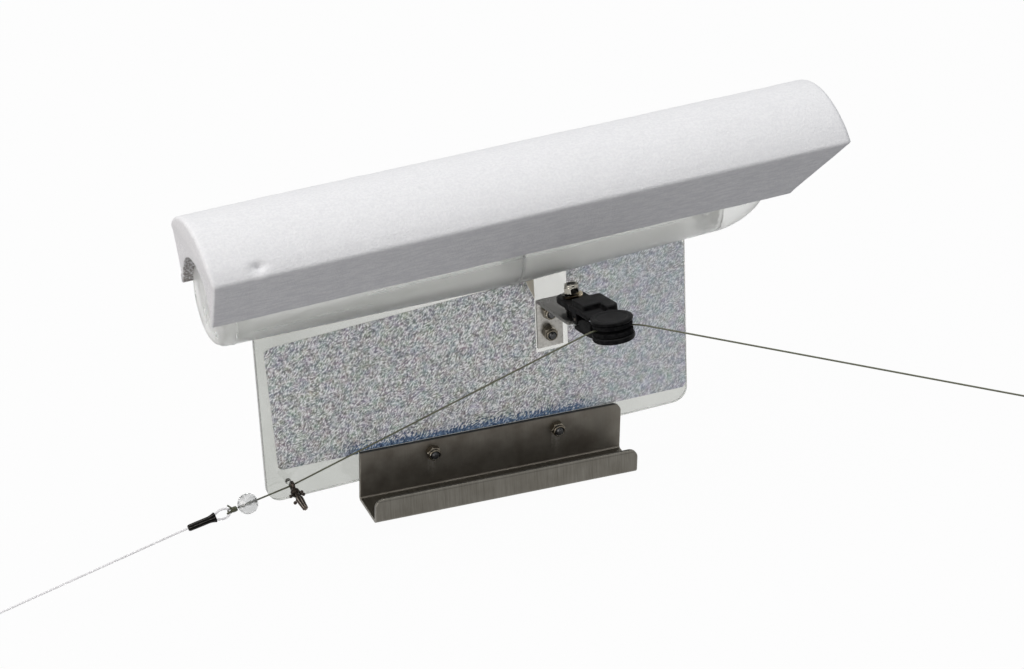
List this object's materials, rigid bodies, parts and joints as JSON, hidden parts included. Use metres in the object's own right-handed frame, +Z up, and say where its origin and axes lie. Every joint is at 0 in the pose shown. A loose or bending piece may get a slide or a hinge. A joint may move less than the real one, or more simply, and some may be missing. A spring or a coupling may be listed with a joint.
{
  "type": "planer board",
  "caption": "Inline planer board: foam-topped float with a clear keel, a bent-sheet ballast channel, a release clip for the line and a spinning snap at the corner.",
  "frame": {"origin": "middle of the ballast channel's flat underside, on which the board stands", "axes": "+X along the foam to the bow, +Y away from the release clip, +Z up out of the foam's arched top"},
  "size_m": [0.3834, 0.2106, 0.1486],
  "materials": {
    "foam": "fine closed-cell foam, matt",
    "hull_plastic": "translucent moulded plastic, soft gloss",
    "keel_plastic": "clear sheet plastic, lightly frosted",
    "film": "silver film with small coloured glints",
    "stainless": "brushed sheet",
    "bolt_steel": "bright zinc-plated steel",
    "brass": "dull brass",
    "clip_plastic": "black moulded plastic, fine grain",
    "pad_rubber": "matt black rubber",
    "dark_nickel": "dark nickel plating, slightly worn",
    "line": "olive monofilament",
    "bead": "clear moulded bead",
    "leader": "white nylon",
    "sleeve": "black glossy plastic"
  },
  "bodies": {
    "board": {"foam_float": "foam", "stern_cap": "hull_plastic", "hull_rear_tube": "hull_plastic", "hull_seam_ring": "hull_plastic", "hull_front_tube": "hull_plastic", "bow_cap": "hull_plastic", "keel_plate": "keel_plastic", "reflective_film": "film", "ballast_channel": "stainless", "channel_bolt_rear": "bolt_steel", "channel_bolt_front": "bolt_steel", "channel_nut_rear": "bolt_steel", "channel_nut_front": "bolt_steel", "release_bracket": "stainless", "bracket_bolt_lower": "bolt_steel", "bracket_bolt_upper": "bolt_steel", "bracket_nut_lower": "bolt_steel", "bracket_nut_upper": "bolt_steel", "clip_bolt": "bolt_steel", "clip_nut": "bolt_steel", "brass_washer": "brass", "upper_jaw": "clip_plastic", "upper_pad": "pad_rubber", "pivot_pin": "bolt_steel", "corner_stud": "dark_nickel", "line_to_rod": "line", "rod_end_knot": "line", "line_to_lure": "line", "line_knot": "line", "leader_loop": "leader", "crimp_sleeve": "sleeve", "leader": "leader", "leader_end_knot": "leader"},
    "jaw": {"lower_jaw": "clip_plastic", "lower_pad": "pad_rubber", "jaw_spring": "bolt_steel"},
    "snap": {"swivel_barrel": "dark_nickel", "snap_wire_long": "dark_nickel", "snap_wire_short": "dark_nickel", "snap_clasp": "dark_nickel"},
    "bead": {"stop_bead": "bead"}
  },
  "joints": [
    {"name": "jaw_open", "type": "hinge", "parent": "board", "child": "jaw", "pos_m": [0.03145, -0.02779, 0.08901], "axis": [0.9995, 0.0323, -0.0077], "range_deg": [0, 25], "stiffness_Nm_per_rad": 0.05, "springref_deg": -68.75},
    {"name": "swivel_spin", "type": "hinge", "parent": "board", "child": "snap", "pos_m": [-0.0864, 0.0039, 0.0184], "axis": [0, -1, 0], "continuous": true},
    {"name": "bead_slide", "type": "slide", "parent": "board", "child": "bead", "axis": [0.9866, 0.0261, 0.1612], "range_m": [0, 0.0055]}
  ]
}
